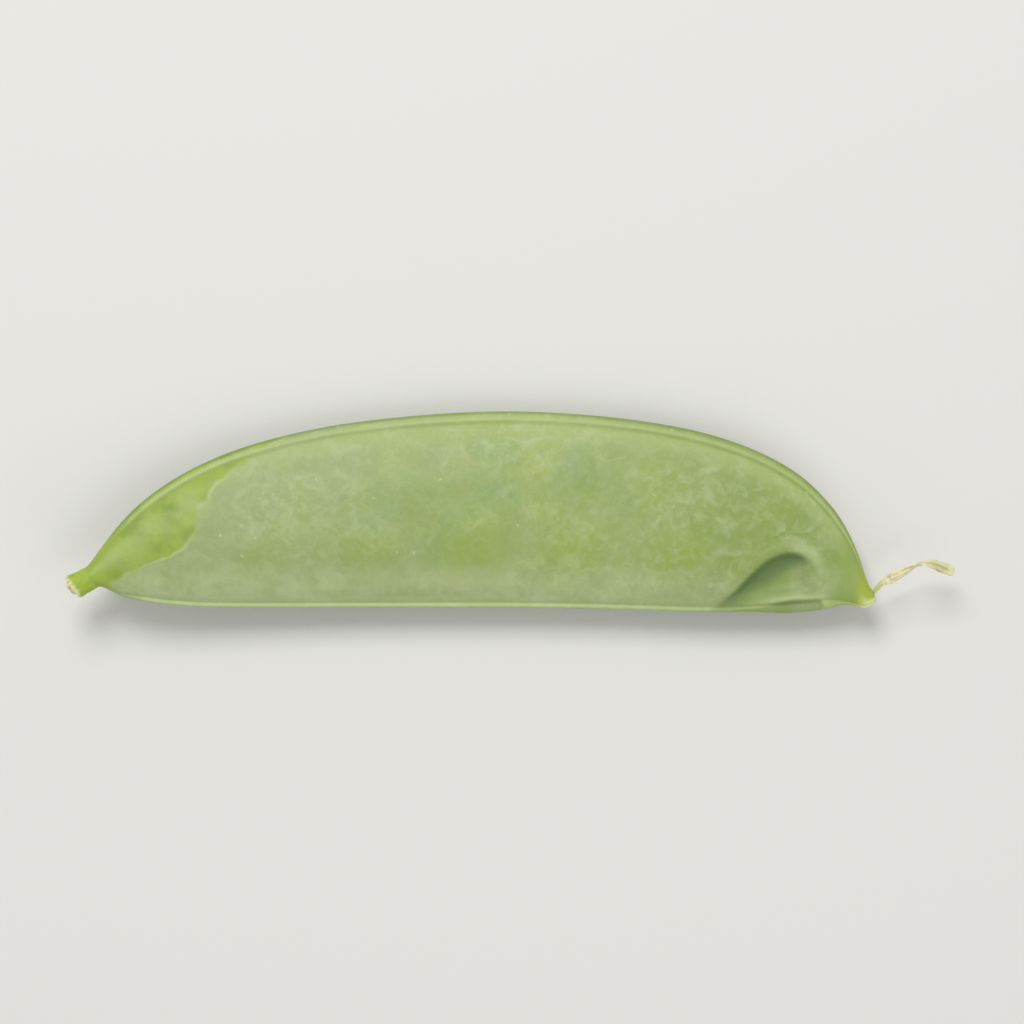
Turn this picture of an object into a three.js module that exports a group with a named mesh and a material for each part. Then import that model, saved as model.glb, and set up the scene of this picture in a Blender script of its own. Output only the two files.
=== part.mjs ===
// A snow pea pod (mangetout), picked and lying flat on one side.
//
// The pod is a flat, crescent-shaped shell: an arched back edge, a nearly straight belly edge
// that carries the peas, a short neck at the stem end and a small beak at the blossom end.
// A five-lobed stem stub sits on the neck, and the withered style trails from the beak.
//
// Units are millimetres, +Z is up. The pod lies along X with its stem end at -X and its arched
// back edge towards +Y. The origin is on the resting surface, below the middle of the object.
import * as THREE from "three";

// ---------------------------------------------------------------- driving dimensions

// The pod is drawn as ribs that run from the belly edge to the back edge, set out along it like
// the rungs of a bent ladder. x is measured from the neck and y from the straight belly edge.
const RIBS = [
  { back: [-0.55, 4.0], belly: [0.55, 2.05], thick: 2.2 },
  { back: [0.95, 6.15], belly: [2.2, 1.15], thick: 2.5 },
  { back: [3.25, 8.9], belly: [4.9, 0.5], thick: 3.1 },
  { back: [7.0, 11.75], belly: [8.9, 0.1], thick: 3.7 },
  { back: [12.5, 14.3], belly: [14.1, 0.0], thick: 4.2 },
  { back: [20.0, 16.2], belly: [20.9, 0.0], thick: 4.5 },
  { back: [28.1, 17.2], belly: [28.5, 0.0], thick: 4.7 },
  { back: [36.1, 17.6], belly: [36.1, 0.0], thick: 4.8 },
  { back: [44.1, 17.2], belly: [43.7, -0.1], thick: 4.7 },
  { back: [51.3, 16.2], belly: [50.2, -0.3], thick: 4.5 },
  { back: [57.2, 14.5], belly: [55.5, -0.4], thick: 4.0 },
  { back: [61.8, 12.1], belly: [60.0, -0.1], thick: 3.4 },
  { back: [64.9, 9.1], belly: [63.3, 0.2], thick: 2.7 },
  { back: [66.6, 6.3], belly: [65.5, 0.4], thick: 2.1 },
  { back: [67.55, 3.9], belly: [66.8, 0.3], thick: 1.7 },
  { back: [68.05, 2.3], belly: [67.9, 0.05], thick: 1.4 },
  { back: [68.4, 1.7], belly: [68.8, 0.75], thick: 1.1 },
];
const POD_WIDTH = 17.6; // at its widest rib
const RINGS_PER_RIB = 5;
const BELLY_POINTS = 10; // points across one wall, between the two seams
const ROUND_RIBS = 2.5; // the section turns from round to flat over this many ribs from each end
const WALL_SPREAD = 0.7; // 0.5 gives a full, oval section and 1 a thin, lens-shaped one

// Each seam in section, as [distance in from the edge, half thickness]: a rounded bead and the
// groove beside it. The belly seam is double, with a shallow channel between its two beads.
const BACK_SEAM = [[0, 0], [0.12, 0.32], [0.45, 0.52], [0.9, 0.43]];
const BELLY_SEAM = [[0.16, 0], [0, 0.3], [0.4, 0.66], [0.95, 0.5]];
const FULL_SEAM_WIDTH = 8; // ribs shorter than this have smaller seams

// The peas hang in a row from the belly seam and swell both walls.
const PEA_COUNT = 5;
const FIRST_PEA_X = 14.8;
const PEA_PITCH = 9.1;
const PEA_INSET = 4.9; // from the belly edge
const PEA_RADIUS = 3.3;
const PEA_SWELL = 0.55;
const END_PEA_SHARE = 0.7; // the outer peas are this much of the middle one

// Past the last pea the upper wall has buckled inwards along a curved crease, which arches up
// from the belly edge and back down to it. The dent is deepest just inside the crease.
const CREASE = [
  [52.0, -1.2],
  [55.1, 0.8],
  [57.4, 2.8],
  [59.2, 4.5],
  [61.2, 5.1],
  [62.9, 4.6],
  [64.1, 3.2],
  [64.9, 1.2],
  [65.2, -1.2],
];
const CREASE_STEPS = 40;
const DENT_DEPTH = 0.85;
const DENT_LIP = 1.0; // from the crease to the deepest line
const DENT_REACH = 4.2; // from the crease to where the dent has run out
const DENT_FADES = [60.8, 64.8]; // it also runs out towards the beak, between these x

// The pod rests on its swollen lower wall, rolled a little towards its back edge, and its two
// ends rise and twist. Its underside is pressed flat where it meets the surface.
const STEM_END_RISE = 1.5;
const BEAK_RISE = 1.0;
const TWIST_RISE = 0.8; // the back edge against the belly edge, at each end
const ROLL = 0.055; // rise of the belly edge over the back edge, per millimetre of width
const REST_X = 34; // where the pod lies lowest
const REST_PRESS = 0.25; // how much of the underside is flattened where it rests

// The stem stub: a short stalk, the five-lobed rim where the sepals were, and the snapped end
// inside it. Each row is [distance out from the neck, radius, lobe height].
const STUB_SECTIONS = [
  [0.0, 1.14, 0],
  [0.4, 1.11, 0],
  [0.9, 1.08, 0],
  [1.35, 1.07, 0.02],
  [1.75, 1.1, 0.05],
  [2.05, 1.15, 0.08],
  [2.22, 1.12, 0.08],
  [2.25, 1.0, 0.05],
  [2.17, 0.86, 0.02],
  [2.17, 0.72, 0],
  [2.5, 0.62, 0],
  [2.6, 0.42, 0],
];
const STUB_SLANT = 0.17; // how much further out the end lies per millimetre towards the back edge
const STUB_LOBES = 5;
const STUB_SIDES = 30;

// The withered style: a flattened thread that turns over halfway along. Each row is
// [x, y, height over the beak's end, width, turn in degrees]; at 0 and 180 its flat side is up.
const STYLE = [
  [68.6, 1.2, 0.0, 0.8, 0],
  [69.05, 1.85, 0.1, 0.64, 0],
  [69.7, 2.5, 0.35, 0.74, 8],
  [70.7, 3.1, 0.65, 0.9, 22],
  [71.8, 3.75, 0.85, 0.84, 58],
  [72.7, 4.05, 0.9, 0.74, 108],
  [73.8, 4.0, 0.8, 1.02, 152],
  [74.9, 3.6, 0.55, 1.12, 174],
  [75.8, 3.1, 0.3, 0.7, 180],
];
const STYLE_FLATNESS = 0.62; // thickness as a share of width
const STYLE_SIDES = 12;
const STYLE_STEPS = 34;

// ---------------------------------------------------------------- helpers

const mix = (a, b, share) => a + (b - a) * share;
const curveOf = (key) => new THREE.SplineCurve(RIBS.map((rib) => new THREE.Vector2(...rib[key])));
const backEdge = curveOf("back");
const bellyEdge = curveOf("belly");
const thickness = new THREE.SplineCurve(RIBS.map((rib, i) => new THREE.Vector2(i, rib.thick)));
const crease = new THREE.SplineCurve(CREASE.map((point) => new THREE.Vector2(...point)))
  .getPoints(CREASE_STEPS);

// A closed solid through rings of equally many points. Each ring turns right-handed about the way
// the rings run, and a flat fan closes each end.
function loft(rings) {
  const positions = rings.flat().flatMap((p) => [p.x, p.y, p.z]);
  const sides = rings[0].length;
  const faces = [];
  for (let r = 0; r + 1 < rings.length; r++) {
    for (let s = 0; s < sides; s++) {
      const a = r * sides + s;
      const b = r * sides + ((s + 1) % sides);
      faces.push(a, b, a + sides, b, b + sides, a + sides);
    }
  }
  for (const [ring, flip] of [[0, false], [rings.length - 1, true]]) {
    const centre = rings[ring].reduce((sum, p) => sum.add(p), new THREE.Vector3());
    centre.divideScalar(sides);
    const hub = positions.length / 3;
    positions.push(centre.x, centre.y, centre.z);
    for (let s = 0; s < sides; s++) {
      const a = ring * sides + s;
      const b = ring * sides + ((s + 1) % sides);
      faces.push(...(flip ? [hub, a, b] : [hub, b, a]));
    }
  }
  const geometry = new THREE.BufferGeometry();
  geometry.setAttribute("position", new THREE.Float32BufferAttribute(positions, 3));
  geometry.setIndex(faces);
  geometry.computeVertexNormals();
  return geometry;
}

// ---------------------------------------------------------------- pod

// One wall in section, as [distance along the rib from the belly edge, half thickness].
function wallSection(width, thick, roundness) {
  const size = Math.min(1, width / FULL_SEAM_WIDTH);
  const bellySide = BELLY_SEAM.map(([inset, half]) => [inset * size, half * size]);
  const backSide = BACK_SEAM.map(([inset, half]) => [width - inset * size, half * size]);
  const [from, fromHalf] = bellySide.at(-1);
  const [to, toHalf] = backSide.at(-1);
  const middle = [];
  for (let i = 1; i <= BELLY_POINTS; i++) {
    const share = i / (BELLY_POINTS + 1);
    const bulge = (4 * share * (1 - share)) ** WALL_SPREAD;
    const rim = mix(fromHalf, toHalf, share);
    middle.push([mix(from, to, share), mix(rim, thick / 2, bulge)]);
  }
  const section = [...bellySide, ...middle, ...backSide.reverse()];
  return section.map(([along, half], i) => {
    const angle = (Math.PI * i) / (section.length - 1);
    const roundAlong = (width / 2) * (1 - Math.cos(angle));
    const roundHalf = (thick / 2) * Math.sin(angle);
    return [mix(along, roundAlong, roundness), mix(half, roundHalf, roundness)];
  });
}

function peaSwell(x, y) {
  let swell = 0;
  for (let i = 0; i < PEA_COUNT; i++) {
    const fromMiddle = Math.abs(i - (PEA_COUNT - 1) / 2) / ((PEA_COUNT - 1) / 2);
    const size = mix(1, END_PEA_SHARE, fromMiddle);
    const distance = Math.hypot(x - FIRST_PEA_X - i * PEA_PITCH, y - PEA_INSET);
    swell += PEA_SWELL * size * Math.exp(-((distance / (PEA_RADIUS * size)) ** 2));
  }
  return swell;
}

// A point's distance from the crease, positive on the dented side.
function insideCrease(x, y) {
  let nearest = Infinity;
  let inside = 0;
  for (let i = 0; i + 1 < crease.length; i++) {
    const along = crease[i + 1].clone().sub(crease[i]);
    const from = new THREE.Vector2(x, y).sub(crease[i]);
    const share = THREE.MathUtils.clamp(from.dot(along) / along.lengthSq(), 0, 1);
    const distance = from.distanceTo(along.clone().multiplyScalar(share));
    if (distance < nearest) {
      nearest = distance;
      inside = -Math.sign(along.cross(from)) * distance;
    }
  }
  return inside;
}

function dentDepth(x, y) {
  const inside = insideCrease(x, y);
  const lip = THREE.MathUtils.smoothstep(inside, 0, DENT_LIP);
  const inwards = 1 - THREE.MathUtils.smoothstep(inside, DENT_LIP, DENT_REACH);
  const towardsBeak = 1 - THREE.MathUtils.smoothstep(x, ...DENT_FADES);
  return DENT_DEPTH * lip * inwards * towardsBeak;
}

// How far the pod's middle plane lies above its lowest line, at REST_X.
function rise(x, y) {
  const towardsStem = x < REST_X;
  const end = towardsStem ? RIBS[0].belly[0] : RIBS.at(-1).belly[0];
  const out = (x - REST_X) / (end - REST_X);
  const across = y / POD_WIDTH - 0.5;
  const endRise = towardsStem ? STEM_END_RISE : BEAK_RISE;
  const twist = (towardsStem ? -1 : 1) * TWIST_RISE * out * out * across;
  return endRise * out ** 3 + twist - ROLL * POD_WIDTH * across;
}

function podRings() {
  const rings = [];
  const last = RIBS.length - 1;
  for (let i = 0; i <= last * RINGS_PER_RIB; i++) {
    const rib = i / RINGS_PER_RIB;
    const belly = bellyEdge.getPoint(rib / last);
    const back = backEdge.getPoint(rib / last);
    const width = belly.distanceTo(back);
    const fromEnd = Math.min(rib, last - rib) / ROUND_RIBS;
    const roundness = 1 - THREE.MathUtils.smoothstep(fromEnd, 0, 1);
    const section = wallSection(width, thickness.getPoint(rib / last).y, roundness);
    const pointAt = ([along, half], side) => {
      const p = belly.clone().lerp(back, along / width);
      const wall = Math.min(1, half); // the swelling and the dent fade out at the seams
      const swollen = half + peaSwell(p.x, p.y) * wall;
      const dented = side > 0 ? dentDepth(p.x, p.y) * wall : 0;
      return new THREE.Vector3(p.x, p.y, rise(p.x, p.y) + side * (swollen - dented));
    };
    const lower = section.map((row) => pointAt(row, -1));
    const upper = section.slice(1, -1).reverse().map((row) => pointAt(row, 1));
    rings.push([...lower, ...upper]);
  }
  return rings;
}

// ---------------------------------------------------------------- stem stub and style

// Where the pod ends in a flat face: its middle, and the way out of it.
function endFace(ribIndex, outward) {
  const { back, belly } = RIBS[ribIndex];
  const x = (back[0] + belly[0]) / 2;
  const y = (back[1] + belly[1]) / 2;
  const across = new THREE.Vector3(back[0] - belly[0], back[1] - belly[1], 0).normalize();
  const out = new THREE.Vector3(across.y, -across.x, 0).multiplyScalar(outward);
  return { centre: new THREE.Vector3(x, y, rise(x, y)), across, out };
}

function stubRings() {
  const { centre, across, out } = endFace(0, -1);
  const up = new THREE.Vector3().crossVectors(out, across).normalize();
  const length = STUB_SECTIONS.at(-1)[0];
  return STUB_SECTIONS.map(([distance, radius, lobe]) => {
    const ring = [];
    for (let s = 0; s < STUB_SIDES; s++) {
      const angle = (2 * Math.PI * s) / STUB_SIDES;
      const r = radius + lobe * Math.cos(STUB_LOBES * angle);
      const slant = STUB_SLANT * r * Math.cos(angle) * (distance / length);
      ring.push(
        centre.clone()
          .addScaledVector(out, distance + slant)
          .addScaledVector(across, r * Math.cos(angle))
          .addScaledVector(up, r * Math.sin(angle)),
      );
    }
    return ring;
  });
}

function styleRings() {
  const { centre, across, out } = endFace(RIBS.length - 1, 1);
  const path = new THREE.CatmullRomCurve3(
    STYLE.map(([x, y, z], i) => (i ? new THREE.Vector3(x, y, centre.z + z) : centre.clone())),
  );
  const widths = new THREE.SplineCurve(STYLE.map((row, i) => new THREE.Vector2(i, row[3])));
  const turns = new THREE.SplineCurve(STYLE.map((row, i) => new THREE.Vector2(i, row[4])));
  const rings = [];
  let side = across.clone();
  for (let i = 0; i <= STYLE_STEPS; i++) {
    const share = i / STYLE_STEPS;
    const at = path.getPoint(share);
    const ahead = i ? path.getTangent(share) : out;
    side = side.addScaledVector(ahead, -side.dot(ahead)).normalize();
    const up = new THREE.Vector3().crossVectors(ahead, side);
    const width = widths.getPoint(share).y;
    const twist = THREE.MathUtils.degToRad(turns.getPoint(share).y);
    const wide = side.clone().multiplyScalar(Math.cos(twist)).addScaledVector(up, Math.sin(twist));
    const thin = up.clone().multiplyScalar(Math.cos(twist)).addScaledVector(side, -Math.sin(twist));
    const ring = [];
    for (let s = 0; s < STYLE_SIDES; s++) {
      const angle = (2 * Math.PI * s) / STYLE_SIDES;
      ring.push(
        at.clone()
          .addScaledVector(wide, (width / 2) * Math.cos(angle))
          .addScaledVector(thin, (width / 2) * STYLE_FLATNESS * Math.sin(angle)),
      );
    }
    rings.push(ring);
  }
  return rings;
}

// ---------------------------------------------------------------- assembly

const pod = podRings();
const stub = stubRings();
const style = styleRings();

// Set the pod down: its underside is pressed flat where it touches the surface, and the origin
// goes below the middle of the whole object.
const box = new THREE.Box3().setFromPoints([...pod, ...stub, ...style].flat());
const middle = box.getCenter(new THREE.Vector3());
const floor = box.min.z + REST_PRESS;
for (const point of [...pod, ...stub, ...style].flat()) {
  point.set(point.x - middle.x, point.y - middle.y, Math.max(0, point.z - floor));
}

function part(name, rings, color, roughness) {
  const material = new THREE.MeshStandardMaterial({ color, roughness, metalness: 0 });
  const mesh = new THREE.Mesh(loft(rings), material);
  mesh.name = name;
  return mesh;
}

const snowPea = new THREE.Group();
snowPea.name = "snow_pea_pod";
snowPea.add(part("pod", pod, 0x9fb573, 0.5));
snowPea.add(part("stem_stub", stub, 0xa2b656, 0.6));
snowPea.add(part("dried_style", style, 0xdccba4, 0.8));

export default snowPea;
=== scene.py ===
# %% [markdown]
# # A snow pea pod
#
# A snow pea, or mangetout, is a pea pod that is picked while it is flat and eaten whole. This one
# lies on its side. It has an arched back seam, a nearly straight belly seam with the peas hung in a
# row beside it, a snapped stalk at one end, and a little beak with a withered style at the other.
#
# The object comes as a plain solid model. It is loaded here as a fixed frame that gives the places
# and sizes, and each of its solids is then replaced by a finely modelled piece.

# %% Load the frame
import math

import bpy
import numpy as np
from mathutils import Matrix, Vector


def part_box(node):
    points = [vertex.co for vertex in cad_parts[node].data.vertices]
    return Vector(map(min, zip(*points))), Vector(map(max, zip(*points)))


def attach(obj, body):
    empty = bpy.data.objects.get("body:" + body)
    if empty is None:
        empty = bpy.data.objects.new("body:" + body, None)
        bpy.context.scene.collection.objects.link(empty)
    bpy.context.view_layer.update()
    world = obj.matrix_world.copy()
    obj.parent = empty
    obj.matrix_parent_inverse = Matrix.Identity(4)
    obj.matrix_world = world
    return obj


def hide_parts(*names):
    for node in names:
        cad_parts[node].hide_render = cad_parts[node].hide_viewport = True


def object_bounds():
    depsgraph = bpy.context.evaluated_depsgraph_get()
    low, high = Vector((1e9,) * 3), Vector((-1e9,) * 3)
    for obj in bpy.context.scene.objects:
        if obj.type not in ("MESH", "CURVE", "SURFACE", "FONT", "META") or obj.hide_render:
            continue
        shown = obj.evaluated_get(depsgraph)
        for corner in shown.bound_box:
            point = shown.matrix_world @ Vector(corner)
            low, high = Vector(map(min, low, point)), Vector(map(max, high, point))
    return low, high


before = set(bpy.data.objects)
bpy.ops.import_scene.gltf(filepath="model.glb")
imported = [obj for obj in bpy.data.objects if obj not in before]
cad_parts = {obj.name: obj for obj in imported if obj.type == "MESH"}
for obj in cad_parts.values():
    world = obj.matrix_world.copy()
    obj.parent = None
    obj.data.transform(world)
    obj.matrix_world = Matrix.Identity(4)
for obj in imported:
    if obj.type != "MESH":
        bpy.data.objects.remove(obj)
cad_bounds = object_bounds()
MM = 0.001  # Blender counts in metres, and this lesson thinks in millimetres

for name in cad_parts:
    low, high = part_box(name)
    print(name, "measures", [round(side / MM, 1) for side in high - low], "mm")

# %% [markdown]
# ## The pod's outline
#
# Seen from above, the pod is a flat crescent. Ribs are set across it like the rungs of a bent
# ladder, each from the belly seam to the back seam, and a smooth curve through their ends gives
# the outline. Few, well-placed ribs keep the curve fair, as they do in boat building.

# %% Ribs, in millimetres
# Each row is a rib: its end on the back seam, its end on the belly seam, and its thickness.
RIBS = [
    (-1.18, 3.49, -0.22, 1.78, 1.9),
    (-0.55, 4.0, 0.55, 2.05, 2.2),
    (0.95, 6.15, 2.2, 1.15, 2.5),
    (3.25, 8.9, 4.9, 0.5, 3.1),
    (7.0, 11.75, 8.9, 0.1, 3.7),
    (12.5, 14.3, 14.1, 0.0, 4.2),
    (20.0, 16.2, 20.9, 0.0, 4.5),
    (28.1, 17.2, 28.5, 0.0, 4.7),
    (36.1, 17.6, 36.1, 0.0, 4.8),
    (44.1, 17.2, 43.7, -0.1, 4.7),
    (51.3, 16.2, 50.2, -0.3, 4.5),
    (57.2, 14.5, 55.5, -0.4, 4.0),
    (61.8, 12.1, 60.0, -0.1, 3.4),
    (64.9, 9.1, 63.3, 0.2, 2.7),
    (66.6, 6.3, 65.5, 0.4, 2.1),
    (67.55, 3.9, 66.8, 0.3, 1.7),
    (68.05, 2.3, 67.9, 0.05, 1.4),
    (68.4, 1.7, 68.8, 0.75, 1.1),
]
NECK_RIB = 1  # the pod ends at this rib, and its skin runs on over the stalk to rib 0
WIDEST_RIB = 8
POD_WIDTH = 17.6  # at the widest rib


def through(rows, place):
    """Values on a smooth curve through a table's rows. Place 2.5 is halfway from row 2 to row 3."""
    rows = np.asarray(rows, float)
    place = np.asarray(place, float)
    first = np.clip(place.astype(int), 0, len(rows) - 2)
    share = (place - first)[..., None]
    near = [rows[np.clip(first + step, 0, len(rows) - 1)] for step in (-1, 0, 1, 2)]
    before, start, end, after = near
    leaving = (end - before) / 2
    arriving = (after - start) / 2
    bend = 3 * (end - start) - 2 * leaving - arriving
    settle = 2 * (start - end) + leaving + arriving
    return start + leaving * share + bend * share**2 + settle * share**3


def fair_curve(rows, points):
    """Points at even steps of place on the curve through all of a table's rows."""
    return through(rows, np.linspace(0, len(rows) - 1, points))


def rib_at(place):
    """Back end, belly end, width and thickness of the rib at a place along the pod."""
    row = through(RIBS, place)
    back = row[..., 0:2]
    belly = row[..., 2:4]
    return back, belly, np.linalg.norm(back - belly, axis=-1), row[..., 4]


print("widest rib:", round(float(rib_at(WIDEST_RIB)[2]), 1), "mm")

# %% [markdown]
# ## Working by hand, in code
#
# An operator acts on whatever is selected, just as in the window, so each step first says what is
# selected. All three pieces start the same way: as a ring that is extruded step by step into a
# tube, and resized about its centre at each step. Three functions hold what the tubes share, and
# a fourth tells where a piece's points are.

# %% Make a tube
def start_tube(name, points, radius, centre=(0, 0, 0)):
    """Sets a filled ring on edge, facing along X, and selects all of it in edit mode."""
    bpy.ops.object.select_all(action="DESELECT")
    bpy.ops.mesh.primitive_circle_add(
        vertices=points, radius=radius, fill_type="NGON", location=centre, rotation=(0, math.pi / 2, 0)
    )
    piece = bpy.context.object
    piece.name = name
    bpy.ops.object.transform_apply()
    bpy.ops.object.mode_set(mode="EDIT")
    bpy.ops.mesh.select_all(action="SELECT")
    return piece


def extrude_ring(step, sizes, centre):
    """Extrudes the selected ring by a step and resizes it about its new centre."""
    bpy.ops.mesh.extrude_region_move(TRANSFORM_OT_translate={"value": step})
    bpy.ops.transform.resize(value=sizes, center_override=centre)


def end_tube():
    """Turns all faces outwards and leaves edit mode."""
    bpy.ops.mesh.select_all(action="SELECT")
    bpy.ops.mesh.normals_make_consistent(inside=False)
    bpy.ops.object.mode_set(mode="OBJECT")


def places(piece):
    """Where the vertices are, in millimetres, as columns x, y and z."""
    flat = np.empty(3 * len(piece.data.vertices))
    piece.data.vertices.foreach_get("co", flat)
    return flat.reshape(-1, 3).T / MM


# %% [markdown]
# ## A flat tube
#
# The pod starts as a circle of 32 points, set on edge across the neck and scaled almost flat. It
# is extruded from rib to rib, and each new ring is resized and turned to its rib. The circle's
# points crowd towards its two ends when it is seen from above, which is just where the seams will
# need them. The other way, a flat grid given thickness by Solidify, has too few points there.
# The rings stand closer together near the beak, where the wall will be buckled.

# %% Extrude the tube from rib to rib
ROUND = 32  # points in a ring
RING_RIBS = [*np.arange(0, 10, 0.5), *np.arange(10, 14, 0.25), *np.arange(14, 17.1, 0.5)]
FLAT = 0.02  # the flat tube's thickness as a share of the neck's width
last_rib = len(RIBS) - 1


def ring_at(ring):
    """Centre, width and turn about Z of a ring, in metres and radians."""
    back, belly, width, _ = rib_at(RING_RIBS[ring])
    middle = (back + belly) / 2
    turn = math.atan2(belly[0] - back[0], back[1] - belly[1])
    return Vector((middle[0], middle[1], 0)) * MM, width * MM, turn


def turn_z(angle, centre):
    """Turns the selection about Z. With no window the operator turns the other way."""
    bpy.ops.transform.rotate(value=-angle, orient_axis="Z", center_override=centre)


centre, width, turn = ring_at(0)
pod = start_tube("pod_skin", ROUND, width / 2, centre)
bpy.ops.transform.resize(value=(1, 1, FLAT), center_override=centre)
turn_z(turn, centre)
for ring in range(1, len(RING_RIBS)):
    next_centre, next_width, next_turn = ring_at(ring)
    wider = next_width / width
    extrude_ring(next_centre - centre, (wider, wider, 1), next_centre)
    turn_z(next_turn - turn, next_centre)
    centre, width, turn = next_centre, next_width, next_turn
end_tube()
print("flat tube:", len(pod.data.vertices), "points, from", places(pod).min(1).round(1),
      "to", places(pod).max(1).round(1), "mm")

# %% [markdown]
# ## A map that knows the pod
#
# Everything that follows needs to know where on the pod a point is: how far along, and how far
# across from the belly to the back. The extruded rings are numbered in order, so this is written
# into a UV map now, while the mesh is simple. Both walls share one map, so it has no seam.

# %% Write the map
plan = pod.data.uv_layers.new(name="plan")
for loop in pod.data.loops:
    ring, point = divmod(loop.vertex_index, ROUND)
    points_from_back = min(point, ROUND - point)
    plan.data[loop.index].uv = (RING_RIBS[ring], 1 - points_from_back / (ROUND / 2))
print("map:", len(plan.data), "corners")

# %% [markdown]
# Subdivision rounds the rings and carries the map to every new point. A modifier is added, set and
# applied at once, so that a finished piece is a plain mesh.

# %% Subdivide
def only(piece):
    """Selects one object and nothing else."""
    bpy.ops.object.select_all(action="DESELECT")
    piece.select_set(True)
    bpy.context.view_layer.objects.active = piece


def modify(piece, kind, **settings):
    """Adds a modifier, sets it and applies it."""
    only(piece)
    modifier = piece.modifiers.new(kind.lower(), kind)
    for name, value in settings.items():
        setattr(modifier, name, value)
    bpy.ops.object.modifier_apply(modifier=modifier.name)


modify(pod, "SUBSURF", levels=3, render_levels=3, uv_smooth="NONE")

corners = np.empty(len(pod.data.loops), int)
pod.data.loops.foreach_get("vertex_index", corners)
flat_map = np.empty(2 * len(corners))
pod.data.uv_layers["plan"].data.foreach_get("uv", flat_map)
mapped = np.empty((len(pod.data.vertices), 2))
mapped[corners] = flat_map.reshape(-1, 2)
along_rib, around = mapped.T  # around is 0 on the belly seam and 1 on the back seam
side = np.sign(places(pod)[2])  # 1 on the upper wall and -1 on the lower
print("fine mesh:", len(pod.data.vertices), "points")

# %% [markdown]
# ## Pushing a surface
#
# Swellings, seams and dents are low relief on a fine mesh. A Displace modifier moves each vertex
# by its weight in a vertex group, so a shape that can be said as a formula becomes a set of
# weights. Sculpting by hand would do the same, but could not be repeated or measured.

# %% Push by a formula
def weigh(piece, weights, kind, **settings):
    """Applies a modifier whose hold on each vertex is given by a weight from 0 to 1."""
    group = piece.vertex_groups.new(name="weights")
    for index in np.flatnonzero(weights > 0):
        group.add([int(index)], float(weights[index]), "REPLACE")
    modify(piece, kind, vertex_group="weights", **settings)
    piece.vertex_groups.remove(piece.vertex_groups["weights"])


def push(piece, name, amounts, direction="Z"):
    """Moves each vertex by its own amount, in millimetres."""
    most = np.abs(amounts).max()
    for sign in (1, -1):
        weigh(piece, sign * amounts / most, "DISPLACE", direction=direction,
              strength=sign * most * MM, mid_level=0)
    print(f"{piece.name}: {name} moves it by up to {most:.2f} mm")


# %% [markdown]
# ## Two walls and two seams
#
# In section a pod is two thin walls that bulge apart between two seams. Each seam is a rounded
# bead with a groove beside it, and where the pod narrows to the neck and the beak the section
# turns round. The section is said as a half thickness, and the flat tube is inflated by it.

# %% Inflate the walls
BACK_SEAM = (0.9, 0.48)  # width of the bead and half its thickness
BELLY_SEAM = (0.52, 0.4)
BODY_INSET = 0.25  # the walls start to part this far in from the edge
WALL_SPREAD = 0.7  # 0.5 gives a full, oval section and 1 a lens-shaped one
FULL_SEAM_RIB = 8  # ribs narrower than this have smaller seams
ROUND_RIBS = 2.5  # the section is round at the ends, and flat this many ribs from them
BLEND = 4  # a high power joins the bead to the wall with a crisp groove


def ease(value, start, end):
    """Goes smoothly from 0 at start to 1 at end, whichever of them is the larger."""
    share = np.clip((value - start) / (end - start), 0, 1)
    return share * share * (3 - 2 * share)


rib_width, rib_thick = rib_at(along_rib)[2:]
seam_scale = np.minimum(1, rib_width / FULL_SEAM_RIB)
from_belly = rib_width * (1 - np.cos(np.pi * around)) / 2
from_back = rib_width - from_belly


def bead(inset, width, half_height):
    """Half thickness of the bead at a distance in from the edge."""
    across = 2 * inset / (width * seam_scale) - 1
    return half_height * seam_scale * np.sqrt(np.clip(1 - across**2, 0, None))


beads = bead(from_belly, *BELLY_SEAM) + bead(from_back, *BACK_SEAM)
body_share = (from_belly - BODY_INSET * seam_scale) / (rib_width - 2 * BODY_INSET * seam_scale)
body_share = np.clip(body_share, 0, 1)
body = rib_thick / 2 * (4 * body_share * (1 - body_share)) ** WALL_SPREAD
lens = (body**BLEND + beads**BLEND) ** (1 / BLEND)
oval = rib_thick / 2 * np.sin(np.pi * around)
flatness = ease(np.minimum(along_rib - NECK_RIB, last_rib - along_rib), 0, ROUND_RIBS)
half = oval + (lens - oval) * flatness
push(pod, "walls", side * half)

# %% [markdown]
# ## Peas and the buckle
#
# The peas inside are small and only swell the walls softly. The swellings fade out at the seams,
# which are too stiff to bend.

# %% Swell over the peas
PEA_COUNT = 5
FIRST_PEA_X = 14.8
PEA_PITCH = 9.1
PEA_INSET = 4.9  # from the belly edge
PEA_RADIUS = 3.3
PEA_SWELL = 0.55
END_PEA_SHARE = 0.7  # the outer peas are this much of the middle one

x, y, z = places(pod)
wall = np.minimum(1, half) * flatness  # 0 at the seams and 1 on the open wall
swell = np.zeros(len(x))
pea_glow = np.zeros(len(x))
middle_pea = (PEA_COUNT - 1) / 2
for pea in range(PEA_COUNT):
    size = 1 + (END_PEA_SHARE - 1) * abs(pea - middle_pea) / middle_pea
    distance = np.hypot(x - FIRST_PEA_X - pea * PEA_PITCH, y - PEA_INSET) / (PEA_RADIUS * size)
    swell += PEA_SWELL * size * np.exp(-distance**2)
    pea_glow = np.maximum(pea_glow, np.exp(-distance**2))
push(pod, "peas", side * swell * wall)

# %% [markdown]
# Past the last pea, the upper wall of this pod has buckled. The crease is a curve through a few
# points, and what the wall does depends on how far inside or outside of it a point lies.

# %% Draw the crease
CREASE = [
    (52.0, -1.2), (54.4, 0.2), (56.1, 1.5), (57.8, 3.3), (59.3, 4.5), (61.0, 5.0), (62.5, 4.6),
    (63.6, 3.4), (64.5, 1.4), (65.0, -1.2),
]
CREASE_STEPS = 80

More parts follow.
